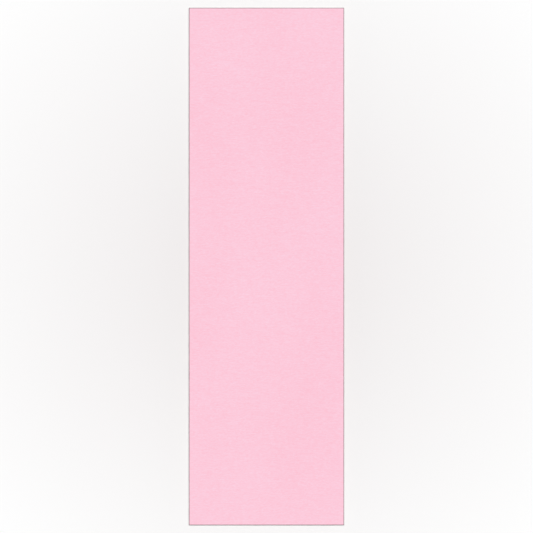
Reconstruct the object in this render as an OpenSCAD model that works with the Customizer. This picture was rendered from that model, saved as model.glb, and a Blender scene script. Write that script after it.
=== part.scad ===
// Scoring board: a greyboard core, pasted up from three plies, with a sheet of pink card
// mounted on each side. It is flat and plain, with square corners and no moving parts.
// It lies face up on a table. The origin is the centre of its underside, X runs across it,
// +Y along its length and +Z up. All sizes are in millimetres.

/* [Board] */
// Length of the board, along Y
board_l = 300; // [200:1:400]
// Width of the board, along X
board_w = 90; // [60:1:160]

/* [Core] */
// Thickness of the greyboard core: its three plies with the two paste films between them
core_t = 3; // [1.5:0.5:4]
// How far the paste between the plies stops short of the core's edge
paste_inset = 0.15; // [0:0.05:0.5]

/* [Card] */
// Thickness of the face sheet and of the back sheet
card_t = 0.3; // [0.2:0.05:0.5]
// Width of the rim of bare core around each sheet of card
card_inset = 0.3; // [0:0.05:1]

/* [Adhesive] */
// Thickness of each film of paste or adhesive
film_t = 0.1; // [0.05:0.05:0.2]
// How far the adhesive under a sheet of card stops short of the sheet's edge
adhesive_inset = 0.15; // [0:0.05:0.5]

/* [Hidden] */

ply_count = 3;
ply_t = (core_t - (ply_count - 1) * film_t) / ply_count;
ply_pitch = ply_t + film_t;

// Heights of the undersides of the layers, from the table up
back_sheet_z = 0;
back_adhesive_z = back_sheet_z + card_t;
core_z = back_adhesive_z + film_t;
face_adhesive_z = core_z + core_t;
face_sheet_z = face_adhesive_z + film_t;

card_pink = "#fccadb";
board_grey = "#7d7a76";
paste_buff = "#cfc8b8";
film_clear = "#e9e6df";

// One flat layer of the board, whose four edges lie inset from the core's edges
module layer(thickness, inset, underside_z) {
    translate([inset - board_w / 2, inset - board_l / 2, underside_z])
        cube([board_w - 2 * inset, board_l - 2 * inset, thickness]);
}

// A ply of the core, counted from 0 at the bottom
module core_ply(level) {
    color(board_grey) layer(ply_t, 0, core_z + level * ply_pitch);
}

// The paste on top of a ply, counted as the plies are
module core_paste(level) {
    color(paste_buff) layer(film_t, paste_inset, core_z + level * ply_pitch + ply_t);
}

module face_sheet() {
    color(card_pink) layer(card_t, card_inset, face_sheet_z);
}

module face_adhesive() {
    color(film_clear) layer(film_t, card_inset + adhesive_inset, face_adhesive_z);
}

module back_adhesive() {
    color(film_clear) layer(film_t, card_inset + adhesive_inset, back_adhesive_z);
}

module back_sheet() {
    color(card_pink) layer(card_t, card_inset, back_sheet_z);
}

face_sheet();
face_adhesive();
core_ply(2);  // core_ply_top
core_paste(1);  // core_paste_upper
core_ply(1);  // core_ply_middle
core_paste(0);  // core_paste_lower
core_ply(0);  // core_ply_bottom
back_adhesive();
back_sheet();
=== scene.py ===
# Looks of the scoring board: a plain craft board of pink card mounted on both sides of a core
# that is pasted up from three plies of greyboard. The board lies face up on a pale studio floor,
# and the camera looks straight down on it. Lengths are in metres, and a number of millimetres
# is multiplied by MM.
import math

import bmesh
import bpy
from mathutils import Matrix, Vector, noise


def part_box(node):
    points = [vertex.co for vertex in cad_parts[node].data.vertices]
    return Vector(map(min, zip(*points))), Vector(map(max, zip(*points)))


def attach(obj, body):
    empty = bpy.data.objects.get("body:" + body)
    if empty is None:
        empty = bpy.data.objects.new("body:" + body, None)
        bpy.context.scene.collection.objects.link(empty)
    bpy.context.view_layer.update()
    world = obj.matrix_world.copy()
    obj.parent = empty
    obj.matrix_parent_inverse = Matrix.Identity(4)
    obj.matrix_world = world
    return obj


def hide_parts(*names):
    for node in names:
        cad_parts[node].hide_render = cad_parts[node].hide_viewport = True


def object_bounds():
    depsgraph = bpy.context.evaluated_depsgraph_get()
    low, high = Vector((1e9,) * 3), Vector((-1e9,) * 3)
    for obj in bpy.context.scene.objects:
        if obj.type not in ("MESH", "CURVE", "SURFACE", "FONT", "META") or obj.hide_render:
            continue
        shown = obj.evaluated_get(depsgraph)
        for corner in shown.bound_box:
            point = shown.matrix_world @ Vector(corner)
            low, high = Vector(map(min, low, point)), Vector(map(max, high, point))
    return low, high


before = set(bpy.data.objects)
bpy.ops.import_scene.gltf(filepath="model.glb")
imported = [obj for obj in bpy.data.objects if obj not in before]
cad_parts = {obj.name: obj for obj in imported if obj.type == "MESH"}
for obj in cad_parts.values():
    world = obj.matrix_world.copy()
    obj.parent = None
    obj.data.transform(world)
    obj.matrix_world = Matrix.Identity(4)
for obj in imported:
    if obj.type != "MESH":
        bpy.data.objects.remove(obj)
cad_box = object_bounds()

MM = 0.001
BOARD_LENGTH = (cad_box[1] - cad_box[0]).y
FACE_HEIGHT = cad_box[1].z

# Faces that meet at more than this angle keep a crisp edge between them.
CRISP_ANGLE = math.radians(15)
# Faces that meet at more than this angle meet along an arris.
ARRIS_ANGLE = math.radians(60)
# A face lies level when its normal has more than this share of Z.
LEVEL = 0.9
# The noise textures run mostly between these two values.
NOISE_LOW = 0.3
NOISE_HIGH = 0.7


# ---------------------------------------------------------------- materials

def linear(hex_colour):
    """A colour written as sRGB hex, as the linear numbers that a shader takes."""
    channels = [int(hex_colour[i:i + 2], 16) / 255 for i in (1, 3, 5)]
    return [c / 12.92 if c <= 0.04045 else ((c + 0.055) / 1.055) ** 2.4 for c in channels] + [1]


def feed(tree, node, inputs):
    """Gives the inputs of a node their values. A node or an output given as a value is linked instead."""
    in_use = {socket.name: socket for socket in node.inputs if socket.enabled}
    for name, value in inputs.items():
        socket = node.inputs[name] if isinstance(name, int) else in_use[name]
        if isinstance(value, bpy.types.Node):
            value = next(output for output in value.outputs if output.enabled)
        if isinstance(value, bpy.types.NodeSocket):
            tree.links.new(value, socket)
        else:
            socket.default_value = value


def add_node(tree, kind, inputs=None, **settings):
    """Adds a shader node with its settings and links."""
    node = tree.nodes.new("ShaderNode" + kind)
    for name, value in settings.items():
        setattr(node, name, value)
    feed(tree, node, inputs or {})
    return node


def new_material(name):
    """A material, its node tree, its shader, and the piece's own coordinates, on which its patterns lie."""
    material = bpy.data.materials.new(name)
    material.use_nodes = True
    tree = material.node_tree
    return material, tree, tree.nodes["Principled BSDF"], add_node(tree, "TexCoord").outputs["Object"]


# A mapping of the TEXTURE type sizes a pattern: its scale is the size of one lump of the noise it feeds.

def dyed_card():
    """Uncoated card, dyed in the pulp and pressed between rollers. Its fibres lie across the board and take
    up the dye unevenly, which gives the eye short, faint streaks and broad, soft clouds of deeper pink."""
    card, tree, shader, place = new_material("Card_dyed_uncoated_calendered")
    # A fibre is 0.03 mm wide, too fine to show, so a streak stands for a bundle of fibres.
    bundles = add_node(tree, "Mapping", {
        "Vector": place, "Scale": Vector((1.4, 0.45, 0.45)) * MM}, vector_type="TEXTURE")
    short_streaks = add_node(tree, "TexNoise", {"Vector": bundles, "Scale": 1, "Detail": 1})
    drawn_out_bundles = add_node(tree, "Mapping", {
        "Vector": place, "Scale": Vector((5, 0.5, 0.5)) * MM}, vector_type="TEXTURE")
    long_streaks = add_node(tree, "TexNoise", {"Vector": drawn_out_bundles, "Scale": 1, "Detail": 1})
    streaks = add_node(tree, "Mix", {"Factor": 0.3, "A": short_streaks, "B": long_streaks}, data_type="FLOAT")
    # The clouds lie along the board, and are thinner than it is, so that its two sides differ. The location
    # picks the stretch of cloud that the sheet is cut from.
    dye_bath = add_node(tree, "Mapping", {
        "Vector": place, "Location": Vector((-1550, -2130, 0)) * MM, "Scale": Vector((36, 72, 1)) * MM,
    }, vector_type="TEXTURE")
    clouds = add_node(tree, "TexNoise", {"Vector": dye_bath, "Scale": 1, "Detail": 1})
    dye = add_node(tree, "Mix", {"Factor": 0.18, "A": streaks, "B": clouds}, data_type="FLOAT")
    depth_of_dye = add_node(tree, "MapRange", {
        "Value": dye, "From Min": NOISE_LOW, "From Max": NOISE_HIGH})
    # The tooth that the rollers leave is 0.1 mm across, and it is drawn coarser so that it shows.
    roller_marks = add_node(tree, "Mapping", {
        "Vector": place, "Scale": Vector((0.5, 0.3, 0.3)) * MM}, vector_type="TEXTURE")
    tooth = add_node(tree, "TexNoise", {"Vector": roller_marks, "Scale": 1})
    feed(tree, shader, {
        "Base Color": add_node(tree, "Mix", {
            "Factor": depth_of_dye, "A": linear("#f5d0df"), "B": linear("#f4c0d0")}, data_type="RGBA"),
        "Roughness": add_node(tree, "MapRange", {
            "Value": tooth, "From Min": NOISE_LOW, "From Max": NOISE_HIGH,
            "To Min": 0.84, "To Max": 0.92}),
        "Diffuse Roughness": 0.4,
        "IOR": 1.5,
        "Normal": add_node(tree, "Bump", {"Height": tooth, "Distance": 0.02 * MM})})
    return card


def greyboard():
    """Board pressed from recycled pulp and cut by a guillotine. The rollers close its two skins, and its
    level faces are painted darker than the fibres that the cut lays open: painted shade, which deepens the
    dark line round the card. The fibres lie in flat layers, with scraps of old print among them, which gives
    the eye fine level lines and a speckle on the cut edges."""
    board, tree, shader, place = new_material("Greyboard_recycled_guillotined")
    # Real layers are 0.05 mm thick, too fine to show, so a line stands for several.
    bedding = add_node(tree, "Mapping", {
        "Vector": place, "Scale": Vector((7, 7, 0.15)) * MM}, vector_type="TEXTURE")
    layers = add_node(tree, "TexNoise", {"Vector": bedding, "Scale": 1, "Detail": 3})
    paleness = add_node(tree, "MapRange", {"Value": layers, "From Min": 0.35, "From Max": 0.65})
    cut_fibres = add_node(tree, "Mix", {
        "Factor": paleness, "A": linear("#908b85"), "B": linear("#aca7a0")}, data_type="RGBA")
    # Painted shade darkens each face that lies level, whichever way up.
    facing = add_node(tree, "SeparateXYZ", {"Vector": add_node(tree, "TexCoord").outputs["Normal"]})
    levelness = add_node(tree, "Math", {0: facing.outputs["Z"]}, operation="ABSOLUTE")
    painted_shade_on_level_faces = add_node(tree, "MapRange", {"Value": levelness, "From Min": 0.5, "From Max": 0.9})
    # The darker grey that the level faces take is painted shade.
    colour = add_node(tree, "Mix", {
        "Factor": painted_shade_on_level_faces, "A": cut_fibres, "B": linear("#6e6a65")}, data_type="RGBA")
    # Paler and darker scraps are 0.4 mm across and pressed flat. They show where a noise of their own peaks.
    for scrap_colour, size, offset in (
        ("#b9b4ab", (0.45, 0.45, 0.12), (40, 0, 0)),
        ("#5e5b5d", (0.4, 0.4, 0.1), (80, 0, 0)),
    ):
        flattened = add_node(tree, "Mapping", {
            "Vector": place, "Location": Vector(offset) * MM, "Scale": Vector(size) * MM,
        }, vector_type="TEXTURE")
        scraps = add_node(tree, "TexNoise", {"Vector": flattened, "Scale": 1, "Detail": 1})
        strength = add_node(tree, "MapRange", {
            "Value": scraps, "From Min": 0.6, "From Max": 0.72, "To Max": 0.5})
        colour = add_node(tree, "Mix", {
            "Factor": strength, "A": colour, "B": linear(scrap_colour)}, data_type="RGBA")
    # The blade's drag marks run up the cut edge. They are 0.02 mm apart, and are drawn coarser.
    blade_travel = add_node(tree, "Mapping", {
        "Vector": place, "Scale": Vector((0.25, 0.25, 5)) * MM}, vector_type="TEXTURE")
    drag_marks = add_node(tree, "TexNoise", {"Vector": blade_travel, "Scale": 1})
    relief = add_node(tree, "Mix", {"Factor": 0.35, "A": layers, "B": drag_marks}, data_type="FLOAT")
    feed(tree, shader, {
        "Base Color": colour,
        "Roughness": add_node(tree, "MapRange", {
            "Value": layers, "From Min": NOISE_LOW, "From Max": NOISE_HIGH,
            "To Min": 0.92, "To Max": 0.98}),
        "Diffuse Roughness": 0.6,
        "IOR": 1.5,
        "Normal": add_node(tree, "Bump", {"Height": relief, "Distance": 0.05 * MM})})
    return board


def dried_film(name, thin, thick, smoothest, roughest):
    """A film of glue that was rolled out wet and dried. It shrinks as it dries, which gives the eye a thin,
    slightly glossy line with paler and deeper stretches."""
    film, tree, shader, place = new_material(name)
    pools = add_node(tree, "TexNoise", {"Vector": place, "Scale": 1 / (6 * MM)})
    thickness = add_node(tree, "MapRange", {"Value": pools, "From Min": 0.35, "From Max": 0.65})
    wrinkles = add_node(tree, "TexNoise", {"Vector": place, "Scale": 1 / (0.8 * MM), "Detail": 1})
    feed(tree, shader, {
        "Base Color": add_node(tree, "Mix", {
            "Factor": thickness, "A": linear(thin), "B": linear(thick)}, data_type="RGBA"),
        "Roughness": add_node(tree, "MapRange", {
            "Value": pools, "From Min": NOISE_LOW, "From Max": NOISE_HIGH,
            "To Min": smoothest, "To Max": roughest}),
        "IOR": 1.48,
        "Normal": add_node(tree, "Bump", {"Height": wrinkles, "Distance": 0.01 * MM})})
    return film


def backdrop_paper():
    """Seamless studio paper, matt and pale, with painted shade that deepens its tone round where the board
    lies.
    """
    paper, tree, shader, place = new_material("Backdrop_paper_matt")
    # The painted shade fades evenly out to the corners of the camera's view, where the paper is palest.
    painted_shade_reach = 0.73 * BOARD_LENGTH
    distance = add_node(tree, "VectorMath", {0: place}, operation="LENGTH")
    paleness = add_node(tree, "MapRange", {"Value": distance, "From Max": painted_shade_reach})
    feed(tree, shader, {
        "Base Color": add_node(tree, "Mix", {
            "Factor": paleness, "A": linear("#e6e2e2"), "B": linear("#f7f7f7")}, data_type="RGBA"),
        "Roughness": 0.95})
    return paper


# ---------------------------------------------------------------- shapes

def slab(node, pitch, rows, rounding, gridded_faces):
    """A closed block the size of a CAD node, with its walls cut into a grid and its arrises rounded.
    The two broad faces are gridded too if they show, and are single faces if they are glued over."""
    low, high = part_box(node)
    size = high - low
    block = bmesh.new()
    place = Matrix.Translation((low + high) / 2) @ Matrix.Diagonal((*size, 1))
    bmesh.ops.create_cube(block, size=1, matrix=place)
    if not gridded_faces:
        broad = [face for face in block.faces if abs(face.normal.z) > LEVEL]
        bmesh.ops.delete(block, geom=broad, context="FACES_ONLY")
    cells = (round(size.x / pitch), round(size.y / pitch), rows)
    for axis in range(3):
        along = [e for e in block.edges if abs((e.verts[1].co - e.verts[0].co)[axis]) > size[axis] / 2]
        if cells[axis] > 1:
            bmesh.ops.subdivide_edges(block, edges=along, cuts=cells[axis] - 1, use_grid_fill=True)
    if not gridded_faces:
        bmesh.ops.holes_fill(block, edges=[e for e in block.edges if e.is_boundary], sides=0)
    arrises = [e for e in block.edges if e.calc_face_angle(0) > ARRIS_ANGLE]
    bmesh.ops.bevel(
        block, geom=arrises, offset=rounding, offset_type="OFFSET", affect="EDGES",
        segments=2, profile=0.5, material=-1, clamp_overlap=True,
    )
    block.normal_update()
    return block


def ruffle_walls(block, depth, lump_mm, seed):
    """Pushes the walls in and out a little, as the fibres stand after a cut."""
    for vert in block.verts:
        outward = Vector((vert.normal.x, vert.normal.y, 0))
        spot = Vector(vert.co[axis] / (lump_mm[axis] * MM) for axis in range(3))
        vert.co += outward * depth * noise.noise(spot + Vector((seed, seed, seed)))


def dimple_face(block, upward, depth, lump_mm, seed):
    """Sinks shallow hollows into the face that shows, where the board under the card isn't quite even."""
    for vert in block.verts:
        if vert.normal.z * upward > LEVEL:
            spot = Vector((vert.co.x, vert.co.y, 0)) / (lump_mm * MM)
            share = (noise.noise(spot + Vector((0, 0, seed))) + 1) / 2
            vert.co.z -= upward * depth * share


def add_piece(name, block, node, material):
    """Makes an object of the block. It stands for the CAD node and moves with the board."""
    mesh = bpy.data.meshes.new(name)
    block.to_mesh(mesh)
    block.free()
    mesh.shade_smooth()
    mesh.set_sharp_from_angle(angle=CRISP_ANGLE)
    mesh.materials.append(material)
    piece = bpy.data.objects.new(name, mesh)
    bpy.context.scene.collection.objects.link(piece)
    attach(piece, "root")
    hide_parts(node)


def mounted_card(name, node, upward, material, seed):
    """A sheet of card, trimmed with a knife. The face that shows follows the unevenness of the core."""
    card = slab(node, pitch=1.25 * MM, rows=1, rounding=0.06 * MM, gridded_faces=True)
    dimple_face(card, upward, depth=0.03 * MM, lump_mm=38, seed=seed)
    dimple_face(card, upward, depth=0.015 * MM, lump_mm=5, seed=seed)
    ruffle_walls(card, depth=0.015 * MM, lump_mm=(3, 3, 1), seed=seed)
    add_piece(name, card, node, material)


def core_ply(name, node, material, seed):
    """A ply of the core, whose cut edges are fibrous."""
    ply = slab(node, pitch=0.6 * MM, rows=3, rounding=0.08 * MM, gridded_faces=False)
    ruffle_walls(ply, depth=0.025 * MM, lump_mm=(2.2, 2.2, 0.3), seed=seed)
    ruffle_walls(ply, depth=0.015 * MM, lump_mm=(0.9, 0.9, 4), seed=seed)
    add_piece(name, ply, node, material)


def glue_film(name, node, material, seed):
    """A film of glue between two layers, whose edge wanders where the glue crept outwards."""
    film = slab(node, pitch=1.0 * MM, rows=1, rounding=0.04 * MM, gridded_faces=False)
    ruffle_walls(film, depth=0.1 * MM, lump_mm=(9, 9, 9), seed=seed)
    ruffle_walls(film, depth=0.04 * MM, lump_mm=(2, 2, 2), seed=seed)
    add_piece(name, film, node, material)


# ---------------------------------------------------------------- studio

def add_camera():
    """Looks straight down on the middle of the face, with +Y at the top of the picture."""
    board_share_of_view = 0.9708
    camera = bpy.data.cameras.new("Camera_overhead")
    camera.lens = 400
    camera.sensor_width = 36
    view_height = BOARD_LENGTH / board_share_of_view
    stand = bpy.data.objects.new("Camera_overhead", camera)
    stand.location = (0, 0, FACE_HEIGHT + view_height * camera.lens / camera.sensor_width)
    bpy.context.scene.collection.objects.link(stand)
    bpy.context.scene.camera = stand


def add_overhead_light():
    """A broad, distant softbox almost straight above, a touch towards the far end and the right."""
    lamp = bpy.data.lights.new("Softbox_overhead", "SUN")
    # With what the room adds, this brings the palest of the backdrop to just under full white.
    lamp.energy = 2.893
    lamp.angle = math.radians(12)
    softbox = bpy.data.objects.new("Softbox_overhead", lamp)
    towards_light = Vector((0.03, 0.08, 1))
    softbox.rotation_euler = towards_light.to_track_quat("Z", "Y").to_euler()
    bpy.context.scene.collection.objects.link(softbox)


def add_studio_room():
    """The pale room round the board: bright low down, as the sweep of paper is, and dimmer above."""
    world = bpy.data.worlds.new("Studio_room")
    world.use_nodes = True
    tree = world.node_tree
    direction = add_node(tree, "TexCoord").outputs["Generated"]
    height = add_node(tree, "SeparateXYZ", {"Vector": direction}).outputs["Z"]
    above_sweep = add_node(tree, "MapRange", {"Value": height, "From Min": 0.1, "From Max": 0.3})
    feed(tree, tree.nodes["Background"], {
        "Color": add_node(tree, "Mix", {
            "Factor": above_sweep, "A": linear("#fbfbfb"), "B": linear("#616161")}, data_type="RGBA")})
    bpy.context.scene.world = world


def add_floor():
    """A wide, level sheet of backdrop paper, which the board lies on."""
    sheet = bmesh.new()
    bmesh.ops.create_circle(sheet, cap_ends=True, segments=96, radius=8)
    mesh = bpy.data.meshes.new("Floor")
    sheet.to_mesh(mesh)
    sheet.free()
    mesh.materials.append(backdrop_paper())
    floor = bpy.data.objects.new("Floor", mesh)
    bpy.context.scene.collection.objects.link(floor)


# ---------------------------------------------------------------- the board

add_camera()
add_overhead_light()
add_studio_room()
add_floor()

pink = dyed_card()
grey = greyboard()
paste = dried_film("Dextrin_paste_rolled_and_dried", "#d6cfbf", "#bdb39d", 0.45, 0.6)
adhesive = dried_film("PVA_adhesive_rolled_and_dried", "#efece4", "#dcd7cb", 0.25, 0.4)

mounted_card("Face_card", "face_sheet", 1, pink, seed=3)
glue_film("Face_glue", "face_adhesive", adhesive, seed=11)
core_ply("Top_ply", "core_ply_top", grey, seed=23)
glue_film("Upper_paste", "core_paste_upper", paste, seed=31)
core_ply("Middle_ply", "core_ply_middle", grey, seed=43)
glue_film("Lower_paste", "core_paste_lower", paste, seed=53)
core_ply("Bottom_ply", "core_ply_bottom", grey, seed=61)
glue_film("Back_glue", "back_adhesive", adhesive, seed=73)
mounted_card("Back_card", "back_sheet", -1, pink, seed=83)

bpy.context.scene.view_settings.view_transform = "Standard"
